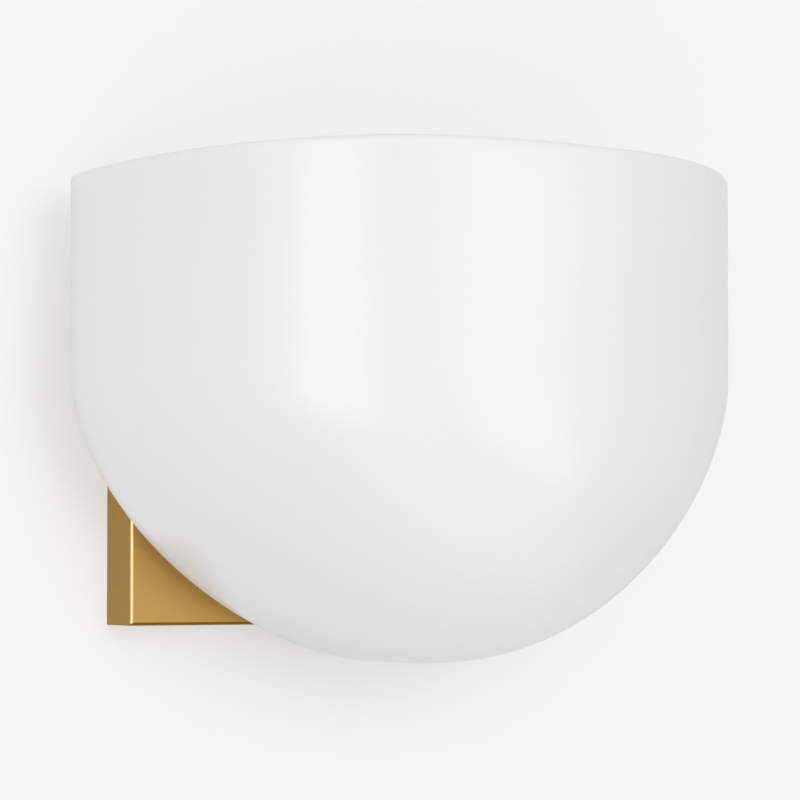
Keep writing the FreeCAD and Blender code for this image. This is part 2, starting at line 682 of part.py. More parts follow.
def make_holder_shell(side):
    """The holder's brass screw shell, closed below except for the contact's hole."""
    bottom = above_shelf(side, HOLDER_FLOOR)
    top = above_shelf(side, HOLDER_FLOOR + SHELL_HEIGHT)
    shell = rod(SHELL, bottom, top).cut(rod(SHELL_BORE, bottom + UP * SHELL_WALL, top))
    return shell.cut(rod(LAMP_TIP + 6 * LAMP_PLAY, bottom, top))


def make_holder_contact(side):
    """The holder's centre contact, a pad on a rivet."""
    pad_bottom = above_shelf(side, CONTACT_TOP - LAMP_TIP_HEIGHT / 2)
    rivet = rod(LAMP_TIP / 2, above_shelf(side, HOLDER_FLOOR), pad_bottom)
    return rivet.fuse(rod(LAMP_TIP, pad_bottom, above_shelf(side, CONTACT_TOP)))


def make_terminal_screws(side):
    """Two slotted terminal screws on a holder's block, down to the wires."""
    under_head = SHELF_TOP + HOLDER_BLOCK_HEIGHT
    head_top = under_head + TERMINAL_SCREW / 2
    tip = WIRE_ENTRY + WIRE / 2 + WIRE_PLAY
    half_slot = TERMINAL_SCREW_HEAD / 12
    screws = []
    for x in terminal_places(side):
        head = rod(TERMINAL_SCREW_HEAD, V(x, TERMINAL_Y, under_head), V(x, TERMINAL_Y, head_top))
        slot_low = V(x - TERMINAL_SCREW_HEAD, TERMINAL_Y - half_slot, head_top - 2 * half_slot)
        slot_high = V(x + TERMINAL_SCREW_HEAD, TERMINAL_Y + half_slot, head_top)
        shank = rod(TERMINAL_SCREW, V(x, TERMINAL_Y, tip), V(x, TERMINAL_Y, under_head))
        screws.append(head.cut(block(slot_low, slot_high)).fuse(shank))
    return group(screws)


def make_holder_nuts():
    """Hexagon nuts that hold both lampholders under the shelf."""
    across = HOLDER_FOOT + 2 * NUT_WALL
    nuts = []
    for side in (-1, 1):
        under_shelf = V(side * LAMP_X, LAMP_Y, SHELF_BOTTOM)
        nuts.append(hexagon(across, HOLDER_FOOT, under_shelf, V(0, 0, -STEM_NUT_THICKNESS)))
    return group(nuts)


# ---------------------------------------------------------------- candle lamps
def make_lamp_tip(side):
    """The lamp's centre contact."""
    return rod(LAMP_TIP, above_shelf(side, TIP_BOTTOM), above_shelf(side, COLLAR_BOTTOM))


def make_lamp_collar(side):
    """The black glass cone between the lamp's tip and its base."""
    low = above_shelf(side, COLLAR_BOTTOM)
    return Part.makeCone(LAMP_TIP / 2, LAMP_BASE / 2, LAMP_COLLAR_HEIGHT, low, UP)


def make_lamp_base(side):
    """The lamp's metal screw base, a thin tube."""
    return tube(LAMP_BASE, 2 * NECK_RADIUS, above_shelf(side, BASE_BOTTOM), above_shelf(side, BASE_TOP))


def candle_solid(side, inset, bottom):
    """The full shape inside a candle lamp's outline, moved in by inset and turned about its axis."""
    neck = NECK_RADIUS - inset
    belly = LAMP_GLASS / 2 - inset
    top = GLASS_TOP - inset
    rise = GLASS_TOP - BASE_TOP
    poles = [
        V(neck, 0, BASE_TOP),
        V(neck, 0, BASE_TOP + 0.14 * rise),
        V(1.04 * belly, 0, BASE_TOP + 0.18 * rise),
        V(1.02 * belly, 0, BASE_TOP + 0.59 * rise),
        V(0.52 * belly, 0, BASE_TOP + 0.81 * rise),
        V(0.30 * belly, 0, top),
        V(0, 0, top),
    ]
    side_curve = Part.BSplineCurve()
    side_curve.buildFromPoles(poles, False, 3)
    foot = V(neck, 0, bottom)
    centre = V(0, 0, bottom)
    outline = Part.Wire([
        Part.LineSegment(centre, foot).toShape(),
        Part.LineSegment(foot, poles[0]).toShape(),
        side_curve.toShape(),
        Part.LineSegment(poles[-1], centre).toShape(),
    ])
    outline.translate(above_shelf(side, 0))
    return Part.Face(outline).revolve(above_shelf(side, 0), UP, 360)


def make_lamp_glass(side):
    """The lamp's frosted envelope, open at its neck."""
    inside = candle_solid(side, LAMP_GLASS_WALL, GLASS_BOTTOM - LAMP_GLASS_WALL)
    return candle_solid(side, 0.0, GLASS_BOTTOM).cut(inside)


def make_lamp_stem(side):
    """The glass mount that closes the neck and stands up inside the envelope."""
    seal = rod(2 * (NECK_RADIUS - LAMP_GLASS_WALL), above_shelf(side, GLASS_BOTTOM),
               above_shelf(side, GLASS_BOTTOM + LAMP_SEAL))
    return seal.fuse(rod(LAMP_STEM, above_shelf(side, GLASS_BOTTOM),
                         above_shelf(side, GLASS_BOTTOM + LAMP_STEM_HEIGHT)))


def make_lamp_filament(side):
    """The filament between its two lead wires, on top of the mount."""
    foot = above_shelf(side, GLASS_BOTTOM + LAMP_STEM_HEIGHT)
    peak = foot + UP * FILAMENT_RISE
    half = V(FILAMENT_LENGTH / 2, 0, 0)
    filament = rod(FILAMENT, peak - half, peak + half)
    for end in (peak - half, peak + half):
        lead = rod(FILAMENT, foot + (end - peak) * (LAMP_STEM / FILAMENT_LENGTH / 2), end)
        filament = filament.fuse(lead)
    low = foot - V(LAMP_STEM, LAMP_STEM, LAMP_STEM)
    return filament.cut(block(low, foot + V(LAMP_STEM, LAMP_STEM, 0)))


# ---------------------------------------------------------------- wires
def make_lamp_wire(side, live):
    """One wire from a lampholder's terminal, through the stem, to its pole of the block."""
    pair = 0 if (side < 0) == live else 1
    lower = 0 if side < 0 else 1
    hand = -1 if live else 1
    terminal = terminal_places(side)[pair]
    lane_x = hand * WIRE_OFFSET
    lane_z = STEM_HEIGHT - side * WIRE_OFFSET

    bush_front = STEM_FRONT - BUSH_LIP
    holder_back = LAMP_Y + HOLDER_BLOCK / 2
    room = bush_front - holder_back
    leave_stem = bush_front - room * LEAVE_STEM_SHARES[pair]
    meet_holder = holder_back + room * MEET_HOLDER_SHARES[pair]

    bush_back = STEM_BACK + BUSH_LIP
    turn_up = bush_back + (STRAP_FRONT - bush_back) * TURN_UP_SHARES[lower]
    pole_y = SLEEVE_Y + side * (WIRE + THREAD_PLAY) / 2
    return wire_solid([
        V(terminal, TERMINAL_Y - WIRE_GRIP / 2 + WIRE_PLAY, WIRE_ENTRY),
        V(terminal, meet_holder, WIRE_ENTRY),
        V(lane_x, leave_stem, lane_z),
        V(lane_x, turn_up, lane_z),
        V(hand * BLOCK_PITCH, pole_y, (STEM_HEIGHT + 2 * BLOCK_BASE_HEIGHT) / 3),
        V(hand * BLOCK_PITCH, pole_y, BLOCK_BASE_HEIGHT + WIRE_GRIP),
    ])


def make_earth_wire():
    """The earth wire from the ring terminal up to the block's middle pole."""
    start = earth_wire_end()
    return wire_solid([
        start,
        V(start.x, start.y, start.z + RING_BARREL_LENGTH),
        V(0, start.y, STEM_HEIGHT + WIRE_BEND),
        V(0, SLEEVE_Y, BLOCK_BASE_HEIGHT - WIRE_BEND),
        V(0, SLEEVE_Y, BLOCK_BASE_HEIGHT + WIRE_GRIP),
    ])


# ---------------------------------------------------------------- write every node
os.makedirs("parts", exist_ok=True)

export("wall_bracket", make_wall_bracket())
export("backplate", make_backplate())
export("plate_screw_top", make_plate_screw(1))
export("plate_screw_bottom", make_plate_screw(-1))

export("terminal_block", make_terminal_block())
export("terminal_sleeves", make_terminal_sleeves())
export("terminal_clamp_screws", make_clamp_screws())
export("terminal_block_screws", make_block_screws())
export("earth_screw", make_earth_screw())
export("earth_ring_terminal", make_earth_ring())
export("earth_wire", make_earth_wire())

export("shade_studs", make_shade_studs())
export("stud_lock_nuts", make_stud_nuts())
export("shade_spacers", make_shade_spacers())
export("outer_gaskets", make_gaskets(SHADE_BACK, SPACER_FRONT))
export("glass_shade", make_glass_shade())
export("inner_gaskets", make_gaskets(TRAY_BACK, SHADE_INSIDE))
export("stud_washers", make_stud_washers())
export("wire_stem", make_wire_stem())
export("stem_spacer", make_stem_spacer())
export("stem_nuts", make_stem_nuts())
export("stem_bushes", make_stem_bushes())

export("lamp_tray", make_lamp_tray())
export("lampholder_nuts", make_holder_nuts())

for hand, side in (("left", -1), ("right", 1)):
    export("shade_nut_" + hand, make_shade_nut(STUD_PLACES[(side + 1) // 2]))
    export("lampholder_" + hand + "_body", make_holder_body(side))
    export("lampholder_" + hand + "_shell", make_holder_shell(side))
    export("lampholder_" + hand + "_contact", make_holder_contact(side))
    export("lampholder_" + hand + "_screws", make_terminal_screws(side))
    export("lamp_" + hand + "_glass", make_lamp_glass(side))
    export("lamp_" + hand + "_base", make_lamp_base(side))
    export("lamp_" + hand + "_collar", make_lamp_collar(side))
    export("lamp_" + hand + "_tip", make_lamp_tip(side))
    export("lamp_" + hand + "_stem", make_lamp_stem(side))
    export("lamp_" + hand + "_filament", make_lamp_filament(side))
    export(hand + "_live_wire", make_lamp_wire(side, True))
    export(hand + "_neutral_wire", make_lamp_wire(side, False))
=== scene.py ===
"""Wall light: an opal glass bowl on a square brass wall pan, with two candle lamps inside.

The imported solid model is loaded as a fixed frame. The glass bowl and the rolled lamp caps are
modelled here in finer meshes, and every other node is dressed with its own finish. Lengths are in
metres, with the wall as the plane y = 0 and the room on its -y side.
"""
import logging
import math
from dataclasses import dataclass
from enum import Enum
from typing import Callable, Iterable, Optional, Sequence, Union

import bmesh
import bpy
from mathutils import Matrix, Vector


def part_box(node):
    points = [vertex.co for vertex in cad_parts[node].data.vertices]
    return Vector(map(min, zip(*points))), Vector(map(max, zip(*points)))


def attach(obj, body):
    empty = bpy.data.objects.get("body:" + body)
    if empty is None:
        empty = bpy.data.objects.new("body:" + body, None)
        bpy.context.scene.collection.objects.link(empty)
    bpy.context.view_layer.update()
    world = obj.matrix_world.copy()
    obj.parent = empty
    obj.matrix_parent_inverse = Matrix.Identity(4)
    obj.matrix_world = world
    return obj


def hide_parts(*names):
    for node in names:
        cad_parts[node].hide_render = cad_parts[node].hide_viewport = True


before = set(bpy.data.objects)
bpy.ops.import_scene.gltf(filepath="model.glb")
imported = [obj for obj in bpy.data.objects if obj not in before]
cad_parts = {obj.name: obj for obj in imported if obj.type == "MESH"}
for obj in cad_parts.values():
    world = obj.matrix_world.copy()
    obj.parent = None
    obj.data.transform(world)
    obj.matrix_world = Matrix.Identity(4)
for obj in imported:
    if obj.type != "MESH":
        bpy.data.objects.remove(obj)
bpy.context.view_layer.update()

LOG = logging.getLogger("wall_light")
MM = 0.001

Colour = tuple[float, float, float]
Link = Union["Signal", bpy.types.NodeSocket]
Value = Union[float, Sequence[float], Link]
Tone = Union[Colour, bpy.types.NodeSocket]


class Side(Enum):
    """Which of the two lamps, as the row names it."""

    LEFT = "left"
    RIGHT = "right"


class LampUse(Enum):
    """What a studio lamp is for.

    It lights the object, shows in all gloss, shows in the bowl's gloss alone, or lights the wall.
    """

    LIGHTING = "lighting"
    REFLECTION = "reflection"
    BOWL = "bowl"
    WALL = "wall"


class Signal:
    """A number socket of a shader that can stand in a Python expression."""

    def __init__(self, shader: "Shader", socket: bpy.types.NodeSocket) -> None:
        """Wraps a socket.

        Args:
            shader: The shader that the socket belongs to.
            socket: The output socket with the number.
        """
        self.shader = shader
        self.socket = socket

    def _math(self, operation: str, first: Value, second: Value) -> "Signal":
        """Adds one Math node.

        Args:
            operation: The node's operation.
            first: Its first value or link.
            second: Its second value or link.

        Returns:
            The node's result.
        """
        node = self.shader.node("ShaderNodeMath", {"operation": operation}, {0: first, 1: second})
        return Signal(self.shader, node.outputs[0])

    def __add__(self, other: Value) -> "Signal":
        """The sum."""
        return self._math("ADD", self, other)

    def __radd__(self, other: float) -> "Signal":
        """The sum, with the number first."""
        return self._math("ADD", other, self)

    def __sub__(self, other: Value) -> "Signal":
        """The difference."""
        return self._math("SUBTRACT", self, other)

    def __rsub__(self, other: float) -> "Signal":
        """A number less this signal."""
        return self._math("SUBTRACT", other, self)

    def __mul__(self, other: Value) -> "Signal":
        """The product."""
        return self._math("MULTIPLY", self, other)

    def largest(self, other: Value) -> "Signal":
        """The larger of the two."""
        return self._math("MAXIMUM", self, other)

    def size(self) -> "Signal":
        """The signal without its sign."""
        return self.largest(0 - self)

    def over(self, low: float, high: float) -> "Signal":
        """Where this signal lies between two levels.

        Args:
            low: The level that gives 0.
            high: The level that gives 1.

        Returns:
            A share from 0 to 1 that eases in and out.
        """
        settings = {"interpolation_type": "SMOOTHSTEP"}
        values = {"Value": self, "From Min": low, "From Max": high}
        node = self.shader.node("ShaderNodeMapRange", settings, values)
        return Signal(self.shader, node.outputs["Result"])


class Shader:
    """The node tree of one finish."""

    def __init__(self, tree: bpy.types.NodeTree, output: str) -> None:
        """Starts an empty tree with its output node.

        Args:
            tree: The node tree, which is emptied.
            output: The type of its output node.
        """
        self.tree = tree
        tree.nodes.clear()
        self.output = tree.nodes.new(output)

    @classmethod
    def of_material(cls, name: str) -> tuple["Shader", bpy.types.Material]:
        """Makes a new material.

        Args:
            name: The material's name.

        Returns:
            The shader of the material, and the material.
        """
        material = bpy.data.materials.new(name)
        material.use_nodes = True
        return cls(material.node_tree, "ShaderNodeOutputMaterial"), material

    def node(self, kind: str, settings: dict[str, object], values: dict) -> bpy.types.Node:
        """Adds a node, sets what it is, and then fills its sockets.

        Args:
            kind: The node's type.
            settings: Its settings, such as an operation.
            values: A value or a link for each socket, by name or number.

        Returns:
            The node.
        """
        node = self.tree.nodes.new(kind)
        for name, setting in settings.items():
            setattr(node, name, setting)
        for key, value in values.items():
            socket = node.inputs[key]
            if isinstance(value, Signal):
                value = value.socket
            if isinstance(value, bpy.types.NodeSocket):
                self.tree.links.new(value, socket)
            else:
                socket.default_value = value
        return node

    def place(self, stretch: Sequence[float] = (1, 1, 1)) -> bpy.types.NodeSocket:
        """The place on the piece in metres, stretched along the axes.

        Args:
            stretch: The factor along X, Y and Z.

        Returns:
            The vector.
        """
        coordinates = self.node("ShaderNodeTexCoord", {}, {})
        values = {"Vector": coordinates.outputs["Object"], "Scale": stretch}
        return self.node("ShaderNodeMapping", {}, values).outputs[0]

    def noise(self, scale: float, detail: float = 3.0,
              stretch: Sequence[float] = (1, 1, 1)) -> Signal:
        """Soft noise from 0 to 1.

        Args:
            scale: Clouds to the metre.
            detail: How many finer octaves are added.
            stretch: The factor on the place along X, Y and Z.

        Returns:
            The noise.
        """
        values = {"Vector": self.place(stretch), "Scale": scale, "Detail": detail}
        node = self.node("ShaderNodeTexNoise", {}, values)
        return Signal(self, node.outputs[0])

    def dots(self, scale: float, size: float) -> Signal:
        """Small round dots, one to a cell.

        Args:
            scale: Cells to the metre.
            size: The radius of a dot as a share of a cell.

        Returns:
            1 in a dot and 0 beside it.
        """
        node = self.node("ShaderNodeTexVoronoi", {}, {"Vector": self.place(), "Scale": scale})
        return 1 - Signal(self, node.outputs["Distance"]).over(size * 0.5, size)

    def cells(self, scale: float) -> Signal:
        """Flat cells, each with its own level from 0 to 1.

        Args:
            scale: Cells to the metre.

        Returns:
            The level.
        """
        node = self.node("ShaderNodeTexVoronoi", {}, {"Vector": self.place(), "Scale": scale})
        parts = self.node("ShaderNodeSeparateColor", {}, {0: node.outputs["Color"]})
        return Signal(self, parts.outputs[0])

    def facing(self) -> tuple[Signal, Signal, Signal]:
        """The way that the surface looks.

        Returns:
            The x, y and z of its normal.
        """
        normal = self.node("ShaderNodeNewGeometry", {}, {}).outputs["Normal"]
        parts = self.node("ShaderNodeSeparateXYZ", {}, {0: normal})
        x, y, z = (Signal(self, part) for part in parts.outputs)
        return x, y, z

    def rounding(self) -> Signal:
        """Where a boxy piece is rounded.

        Returns:
            0 on the flat faces that look along an axis, and 1 on the rounded edges between them.
        """
        x, y, z = (part.size() for part in self.facing())
        return 1 - x.largest(y).largest(z).over(0.88, 0.985)

    def blend(self, share: Link, first: Tone, second: Tone) -> bpy.types.NodeSocket:
        """Mixes two colours.

        Args:
            share: 0 for the first colour and 1 for the second.
            first: The first colour.
            second: The second colour.

        Returns:
            The mixed colour.
        """
        start = first if isinstance(first, bpy.types.NodeSocket) else (*first, 1)
        end = second if isinstance(second, bpy.types.NodeSocket) else (*second, 1)
        node = self.node("ShaderNodeMix", {"data_type": "RGBA"}, {0: share, 6: start, 7: end})
        return node.outputs[2]

    def grazing(self, low: float, high: float) -> Signal:
        """Where a surface is seen edge-on, for use on gloss.

        Args:
            low: The share of turning away that gives 0.
            high: The share that gives 1.

        Returns:
            A share from 0 to 1.
        """
        node = self.node("ShaderNodeLayerWeight", {}, {"Blend": 0.5})
        return Signal(self, node.outputs["Facing"]).over(low, high)

    def relief(self, height: Signal, depth: float) -> bpy.types.NodeSocket:
        """Turns a height into a bumped normal.

        Args:
            height: The height, from 0 to 1.
            depth: What a height of 1 stands for in metres.

        Returns:
            The normal.
        """
        return self.node("ShaderNodeBump", {}, {"Height": height, "Distance": depth}).outputs[0]

    def surface(self, values: dict[str, Value]) -> None:
        """Ends the tree in a Principled shader.

        Args:
            values: A value or a link for each of its sockets that isn't at its default.
        """
        node = self.node("ShaderNodeBsdfPrincipled", {}, values)
        self.tree.links.new(node.outputs[0], self.output.inputs[0])


@dataclass(frozen=True)
class OpalGlass:
    """Opal glass: milky, softly glossy, a little wavy, with a few fine specks.

    Its skin is etched, so the gloss fades where it is seen edge-on.
    """

    colour: Colour
    milk: Colour
    speck: Colour
    gloss: float = 0.8
    gloss_roughness: float = 0.23
    etched: float = 0.7
    wave_depth: float = 0.5 * MM
    depth_share: float = 0.3
    depth: float = 8 * MM

    def material(self, name: str) -> bpy.types.Material:
        """Builds the material.

        Args:
            name: The material's name.

        Returns:
            The material.
        """
        shader, material = Shader.of_material(name)
        clouds = shader.noise(9, 2).over(0.35, 0.7)
        milky = shader.blend(clouds, self.colour, self.milk)
        specks = shader.dots(85, 0.035) * shader.noise(31, 0).over(0.5, 0.6)
        fine = shader.noise(420, 2)
        height = shader.noise(7, 1) + fine * 0.004
        shader.surface({
            "Base Color": shader.blend(specks, milky, self.speck),
            "Roughness": 0.3 + shader.noise(24) * 0.12,
            "Specular IOR Level": 0.15,
            "Subsurface Weight": self.depth_share,
            "Subsurface Radius": (1, 1, 1),
            "Subsurface Scale": self.depth,
            "Coat Weight": self.gloss - specks * 0.3 - shader.grazing(0.55, 0.95) * self.etched,
            "Coat Roughness": self.gloss_roughness,
            "Normal": shader.relief(height, self.wave_depth),
        })
        return material


@dataclass(frozen=True)
class FrostedGlass:
    """Acid-frosted lamp glass: white, matt and finely grained."""

    colour: Colour
    shade: Colour

    def material(self, name: str) -> bpy.types.Material:
        """Builds the material.

        Args:
            name: The material's name.

        Returns:
            The material.
        """
        shader, material = Shader.of_material(name)
        grain = shader.noise(2600, 2)
        shader.surface({
            "Base Color": shader.blend(shader.noise(60).over(0.3, 0.8), self.colour, self.shade),
            "Roughness": 0.42 + grain * 0.2,
            "Coat Weight": 0.15 + shader.noise(90) * 0.1,
            "Coat Roughness": 0.3,
            "Normal": shader.relief(grain, 0.01 * MM),
        })
        return material


@dataclass(frozen=True)
class ClearGlass:
    """Drawn clear or black glass, with faint drawing lines along its height."""

    colour: Colour
    streak: Colour
    transmission: float

    def material(self, name: str) -> bpy.types.Material:
        """Builds the material.

        Args:
            name: The material's name.

        Returns:
            The material.
        """
        shader, material = Shader.of_material(name)
        lines = shader.noise(700, 2, (1, 1, 0.05))
        shader.surface({
            "Base Color": shader.blend(lines.over(0.4, 0.7), self.colour, self.streak),
            "Roughness": 0.05 + lines * 0.08,
            "Transmission Weight": self.transmission,
            "IOR": 1.5,
            "Normal": shader.relief(lines, 0.02 * MM),
        })
        return material


@dataclass(frozen=True)
class EdgeWearAndShade:
    """How handling wears the edges of a boxy metal piece, with painted light and shade on top.

    The edges are worn bright, partly as a painted highlight; the faces at its two sides get a
    painted shade that leaves them duller than the front; and the rounding below the front gets a
    painted shade.
    """

    # The first colour is the worn edges, partly a painted highlight; the second is a painted
    # shade for the side faces; the third is a painted shade for the rounding below the front.
    wear_and_highlight: Colour
    side: Colour
    underside_shade: Colour


@dataclass(frozen=True)
class SatinMetal:
    """Solid or plated metal with a fine grain, faint clouds and handling marks."""

    colour: Colour
    deep: Colour
    tarnish: Colour
    roughness: float
    grain_stretch: tuple[float, float, float] = (1, 1, 1)
    grain_scale: float = 900
    grain_depth: float = 0.006 * MM
    spangle: float = 0.0
    lacquer: float = 0.0
    metal: float = 1.0
    # Worn edges with a painted highlight, and painted shade on the sides and below, when given.
    edge_wear_and_shade: Optional[EdgeWearAndShade] = None

    def material(self, name: str) -> bpy.types.Material:
        """Builds the material.

        Args:
            name: The material's name.

        Returns:
            The material.
        """
        shader, material = Shader.of_material(name)
        grain = shader.noise(self.grain_scale, 3, self.grain_stretch)
        clouds = shader.noise(26, 4).over(0.3, 0.75)
        level = clouds * (1 - self.spangle) + shader.cells(420) * self.spangle
        worn = shader.noise(70, 5).over(0.62, 0.8) * 0.35
        colour = shader.blend(level, self.colour, self.deep)
        marks = shader.noise(160, 4, (1, 0.3, 1)).over(0.6, 0.75)
        finished = shader.blend(worn, colour, self.tarnish)
        roughness = self.roughness + grain * 0.08 + marks * 0.05 - 0.04
        metal: Value = self.metal
        if self.edge_wear_and_shade:
            wear_and_shade = self.edge_wear_and_shade
            # Painted shade on the faces that look sideways and on those that look down; the edges
            # are lightened as worn metal and partly as a painted highlight, and their lower
            # roughness and fuller metal come from real use.
            x, _, z = shader.facing()
            sideways = x.size().over(0.8, 0.97)
            shaded_underside = (0 - z).over(0.08, 0.3)
            wear_and_highlight = shader.rounding() * (1 - shaded_underside) * (0.75 + grain * 0.25)
            finished = shader.blend(sideways, finished, wear_and_shade.side)
            finished = shader.blend(wear_and_highlight, finished, wear_and_shade.wear_and_highlight)
            finished = shader.blend(shaded_underside, finished, wear_and_shade.underside_shade)
            roughness = roughness - wear_and_highlight * 0.16
            metal = metal + wear_and_highlight * (1 - metal)
        shader.surface({
            "Base Color": finished,
            "Metallic": metal,
            "Roughness": roughness,
            "Coat Weight": self.lacquer,
            "Coat Roughness": 0.2,
            "Specular IOR Level": 0.2,
            "Normal": shader.relief(grain, self.grain_depth),
        })
        return material


@dataclass(frozen=True)
class Moulded:
    """Moulded plastic, rubber or stoved enamel, with its skin texture and a little dust."""

    colour: Colour
    mottle: Colour
    dust: Colour
    roughness: float
    texture_scale: float = 1400
    texture_depth: float = 0.012 * MM
    gloss: float = 0.0

    def material(self, name: str) -> bpy.types.Material:
        """Builds the material.

        Args:
            name: The material's name.

        Returns:
            The material.
        """
        shader, material = Shader.of_material(name)
        skin = shader.noise(self.texture_scale, 2)
        mottled = shader.blend(shader.noise(45, 4).over(0.3, 0.8), self.colour, self.mottle)
        dusty = shader.noise(130, 6).over(0.58, 0.8) * 0.4
        shader.surface({
            "Base Color": shader.blend(dusty, mottled, self.dust),
            "Roughness": self.roughness + skin * 0.1 + dusty * 0.2,
            "Coat Weight": self.gloss,
            "Coat Roughness": 0.15,
            "Normal": shader.relief(skin, self.texture_depth),
        })
        return material


@dataclass(frozen=True)
class WireSleeve:
    """Extruded wire insulation, plain or with a stripe along one side."""

    colour: Colour
    shade: Colour
    stripe: Colour

    def material(self, name: str) -> bpy.types.Material:
        """Builds the material.

        Args:
            name: The material's name.

        Returns:
            The material.
        """
        shader, material = Shader.of_material(name)
        sideways, _, _ = shader.facing()
        striped = sideways.over(0.35, 0.45)
        plain = shader.blend(shader.noise(150, 3), self.colour, self.shade)
        ripple = shader.noise(900, 2, (1, 1, 0.3))
        shader.surface({
            "Base Color": shader.blend(striped, plain, self.stripe),
            "Roughness": 0.32 + ripple * 0.15,
            "Coat Weight": 0.2 + ripple * 0.1,
            "Normal": shader.relief(ripple, 0.015 * MM),
        })
        return material


Finish = Union[OpalGlass, FrostedGlass, ClearGlass, SatinMetal, Moulded, WireSleeve]

BROWN = (0.19, 0.075, 0.03)
BLUE = (0.02, 0.11, 0.44)
GREEN = (0.05, 0.30, 0.05)
FINISHES: dict[str, Finish] = {
    "opal_glass": OpalGlass((0.86, 0.86, 0.862), (0.845, 0.847, 0.85), (0.70, 0.70, 0.70)),
    "brass_plate": SatinMetal(
        (0.66, 0.412, 0.122), (0.64, 0.395, 0.115), (0.60, 0.36, 0.10), 0.46,
        grain_stretch=(1, 1, 0.08), metal=0.6,
        # Worn edges partly painted as a highlight, with painted shade on the side faces and below
        # the front.
        edge_wear_and_shade=EdgeWearAndShade((0.76, 0.58, 0.31), (0.39, 0.215, 0.03), (0.24, 0.12, 0.01))),
    "brass_fitting": SatinMetal(
        (0.52, 0.32, 0.085), (0.48, 0.285, 0.07), (0.38, 0.21, 0.05), 0.30, lacquer=0.1),
    "brass_terminal": SatinMetal(
        (0.62, 0.42, 0.15), (0.56, 0.37, 0.12), (0.36, 0.22, 0.08), 0.27),
    "zinc_steel": SatinMetal(
        (0.58, 0.60, 0.62), (0.50, 0.52, 0.55), (0.42, 0.41, 0.36), 0.33, spangle=0.5),
    "white_steel": Moulded(
        (0.84, 0.84, 0.82), (0.81, 0.81, 0.785), (0.72, 0.71, 0.68), 0.26,
        texture_scale=520, texture_depth=0.03 * MM, gloss=0.35),
    "tinned_copper": SatinMetal(
        (0.62, 0.60, 0.57), (0.56, 0.53, 0.50), (0.47, 0.33, 0.24), 0.28),
    "gasket_rubber": Moulded(
        (0.022, 0.022, 0.023), (0.03, 0.03, 0.03), (0.09, 0.088, 0.085), 0.62),
    "block_plastic": Moulded(
        (0.76, 0.76, 0.73), (0.72, 0.72, 0.68), (0.62, 0.60, 0.56), 0.42),
    "bush_plastic": Moulded(
        (0.80, 0.79, 0.75), (0.76, 0.75, 0.70), (0.64, 0.62, 0.58), 0.38),
    "holder_plastic": Moulded(
        (0.78, 0.765, 0.70), (0.74, 0.72, 0.65), (0.62, 0.60, 0.55), 0.45),
    "frosted_glass": FrostedGlass((0.90, 0.90, 0.88), (0.86, 0.86, 0.84)),
    "clear_glass": ClearGlass((0.92, 0.94, 0.94), (0.82, 0.86, 0.86), 0.85),
    "black_glass": ClearGlass((0.012, 0.012, 0.014), (0.03, 0.028, 0.03), 0.0),
    "nickel_base": SatinMetal(
        (0.60, 0.585, 0.55), (0.53, 0.515, 0.48), (0.40, 0.36, 0.29), 0.24),
    "solder_tip": SatinMetal(
        (0.46, 0.46, 0.47), (0.38, 0.38, 0.39), (0.28, 0.28, 0.27), 0.42,
        grain_scale=300, grain_depth=0.05 * MM),
    "filament_metal": SatinMetal(
        (0.12, 0.12, 0.125), (0.09, 0.09, 0.09), (0.05, 0.05, 0.05), 0.4),
    "live_insulation": WireSleeve(BROWN, (0.16, 0.06, 0.024), BROWN),
    "neutral_insulation": WireSleeve(BLUE, (0.015, 0.09, 0.38), BLUE),
    "earth_insulation": WireSleeve(GREEN, (0.045, 0.26, 0.045), (0.72, 0.62, 0.03)),
}


class Finisher:
    """Makes each finish once and dresses nodes and pieces with it."""

    def __init__(self) -> None:
        """Builds all the materials."""
        self.materials = {
            slot: finish.material(f"{slot}_finish") for slot, finish in FINISHES.items()}

    def dress_node(self, name: str) -> None:
        """Gives a node of the frame the finish of its own slot.

        Args:
            name: The node's name.
        """
        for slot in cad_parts[name].material_slots:
            material = self.materials[slot.material.name.split(".")[0]]
            slot.link = "OBJECT"
            slot.material = material
        LOG.info("dressed node %s", name)

    def dress_piece(self, piece: bpy.types.Object, slot: str, body: str, node: str) -> None:
        """Finishes a new piece, and puts it in the place of its node.

        Args:
            piece: The new piece.
            slot: The material slot whose finish it takes.
            body: The body that it rides on.
            node: The node that it stands for.
        """
        piece.data.materials.append(self.materials[slot])
        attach(piece, body)
        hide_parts(node)
        LOG.info("built %s on %s with %d faces", piece.name, body, len(piece.data.polygons))


def as_piece(mesh_edit: bmesh.types.BMesh, name: str, sharp_degrees: float) -> bpy.types.Object:
    """Turns a finished bmesh into a smooth-shaded object at the origin.

    Args:
        mesh_edit: The bmesh, which is freed.
        name: The name of the object.
        sharp_degrees: Edges that turn by more than this stay crisp.

    Returns:
        The object, linked to the scene.
    """
    for face in mesh_edit.faces:
        face.smooth = True
    mesh = bpy.data.meshes.new(name)
    mesh_edit.to_mesh(mesh)
    mesh_edit.free()
    mesh.set_sharp_from_angle(angle=math.radians(sharp_degrees))
    piece = bpy.data.objects.new(name, mesh)
    bpy.context.scene.collection.objects.link(piece)
    return piece


